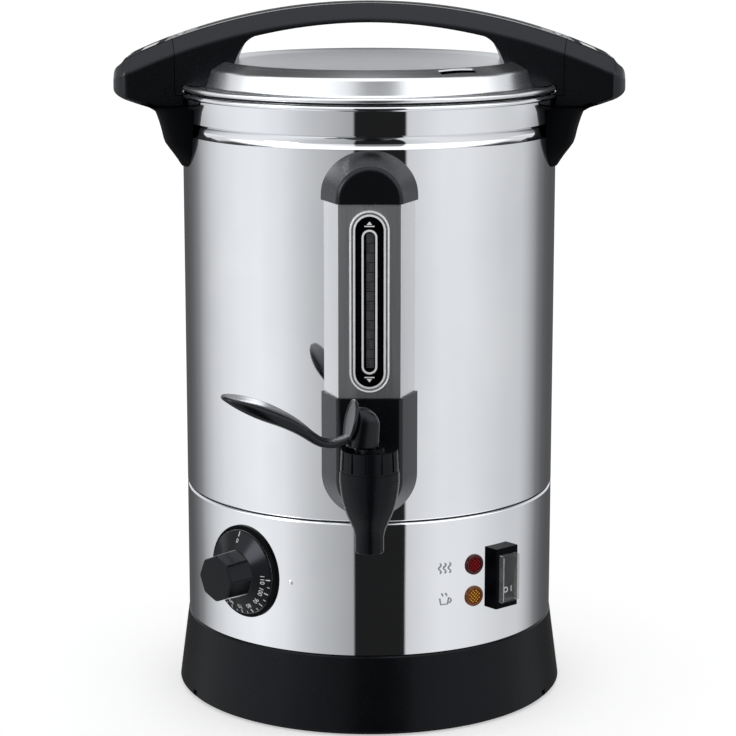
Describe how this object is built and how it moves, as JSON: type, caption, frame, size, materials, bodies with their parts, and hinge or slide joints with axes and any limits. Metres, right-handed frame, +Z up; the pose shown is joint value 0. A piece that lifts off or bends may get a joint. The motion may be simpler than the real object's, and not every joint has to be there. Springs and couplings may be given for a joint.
{
  "type": "mulled wine urn",
  "caption": "Electric drinks urn: mirror steel pot on a black base, turning lid with arch handle, side handles, level gauge column, lever tap, dial, lamps and switch.",
  "frame": {"origin": "centre of the rubber ring's face that the urn stands on", "axes": "+Z up, the tap and the controls face -Y, +X to the right seen from the front"},
  "size_m": [0.2976, 0.2969, 0.4112],
  "materials": {
    "mirror_steel": "mirror polished",
    "brushed_sheet": "brushed lengthwise",
    "plain_steel": "plain",
    "black_satin": "satin moulded",
    "black_gloss": "gloss moulded",
    "rubber_black": "soft",
    "rubber_red": "soft",
    "clear_soft": "clear soft",
    "cast_aluminium": "cast",
    "element_sheath": "heat tinted",
    "copper_like": "plain",
    "pale_plastic": "moulded",
    "bright_trim": "satin",
    "panel_black": "gloss",
    "tube_clear": "clear",
    "lens_red": "translucent",
    "lens_amber": "translucent",
    "silicone_white": "soft"
  },
  "bodies": {
    "urn": {"base_ring": "black_satin", "foot_ring": "rubber_black", "base_plate": "plain_steel", "base_screws": "plain_steel", "lower_band": "mirror_steel", "seam_gasket": "rubber_black", "pot": "mirror_steel", "heat_spreader": "cast_aluminium", "heating_element": "element_sheath", "thermal_cutout": "black_satin", "sensor_bulb": "copper_like", "terminal_block": "pale_plastic", "cable_gland": "black_satin", "gland_nut": "black_satin", "dial_ring": "black_gloss", "thermostat_body": "black_satin", "switch_housing": "black_gloss", "rocker_pin": "plain_steel", "switch_boot": "clear_soft", "red_lamp": "lens_red", "amber_lamp": "lens_amber", "lamp_holders": "pale_plastic", "gauge_cover": "brushed_sheet", "gauge_cap": "black_satin", "tap_shroud": "black_satin", "gauge_bezel": "bright_trim", "gauge_panel": "panel_black", "sight_tube": "tube_clear", "tube_seals": "rubber_red", "tap_body": "black_satin", "tap_nut": "plain_steel", "tap_gaskets": "rubber_red", "tap_bonnet": "black_satin", "tap_spring": "plain_steel", "side_handle_left": "black_satin", "side_handle_right": "black_satin", "handle_bolts": "plain_steel"},
    "lid_seal": {"lid_seal": "rubber_black"},
    "lid": {"lid_shell": "mirror_steel", "lid_handle": "black_satin", "handle_inlay": "black_gloss", "lid_screws": "plain_steel"},
    "dial": {"thermostat_knob": "black_satin", "thermostat_shaft": "plain_steel"},
    "rocker": {"switch_rocker": "black_gloss"},
    "tap_turn": {"thrust_washer": "black_satin"},
    "valve": {"valve_stem": "black_satin", "valve_cup": "silicone_white", "lever_pin": "plain_steel"},
    "lever": {"tap_lever": "black_gloss"}
  },
  "joints": [
    {"name": "lid_lift", "type": "slide", "parent": "urn", "child": "lid_seal", "axis": [0, 0, 1], "range_m": [0, 0.16]},
    {"name": "lid_turn", "type": "hinge", "parent": "lid_seal", "child": "lid", "pos_m": [0, 0, 0.3613], "axis": [0, 0, 1], "range_deg": [0, 30]},
    {"name": "dial_turn", "type": "hinge", "parent": "urn", "child": "dial", "pos_m": [-0.06997, -0.08488, 0.09], "axis": [-0.7009, -0.7133, 0], "range_deg": [0, 265]},
    {"name": "switch_rock", "type": "hinge", "parent": "urn", "child": "rocker", "pos_m": [0.07653, -0.0865, 0.0872], "axis": [-0.749, -0.6626, 0], "range_deg": [0, 12]},
    {"name": "tap_swivel", "type": "hinge", "parent": "urn", "child": "tap_turn", "pos_m": [0, -0.155, 0.1785], "axis": [0, 0, 1], "range_deg": [-12, 168]},
    {"name": "valve_lift", "type": "slide", "parent": "tap_turn", "child": "valve", "axis": [0, 0, 1], "range_m": [0, 0.003], "deforming": ["tap_spring"]},
    {"name": "lever_press", "type": "hinge", "parent": "valve", "child": "lever", "pos_m": [0, -0.155, 0.1935], "axis": [0.2079, -0.9781, 0], "range_deg": [0, 15], "stiffness_Nm_per_rad": 0.3, "springref_deg": -17.19}
  ],
  "couplings": [
    {"joint": "valve_lift", "follows": "lever_press", "m_per_rad": 0.011458}
  ]
}
